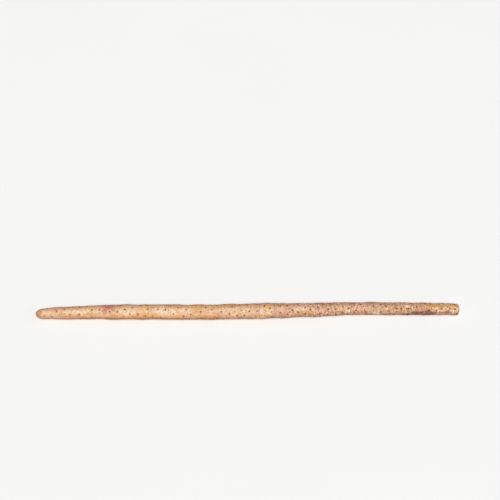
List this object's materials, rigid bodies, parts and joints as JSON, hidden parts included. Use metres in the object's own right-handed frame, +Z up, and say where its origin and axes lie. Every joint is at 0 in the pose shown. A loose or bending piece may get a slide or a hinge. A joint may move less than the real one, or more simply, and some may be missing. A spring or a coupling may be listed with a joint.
{
  "type": "chinese yam",
  "caption": "Long slim Chinese yam tuber, lying on its side: rounded growing tip at one end, square trimmed crown at the other, with low root nubs and growth creases all round.",
  "frame": {"origin": "on the surface that the yam lies on, under the middle of its outline", "axes": "+X along the yam towards its trimmed crown, -X towards its growing tip, +Z up"},
  "size_m": [0.7006, 0.028, 0.0262],
  "materials": {
    "yam_skin": "matt"
  },
  "bodies": {
    "root": {"yam": "yam_skin"}
  },
  "joints": []
}
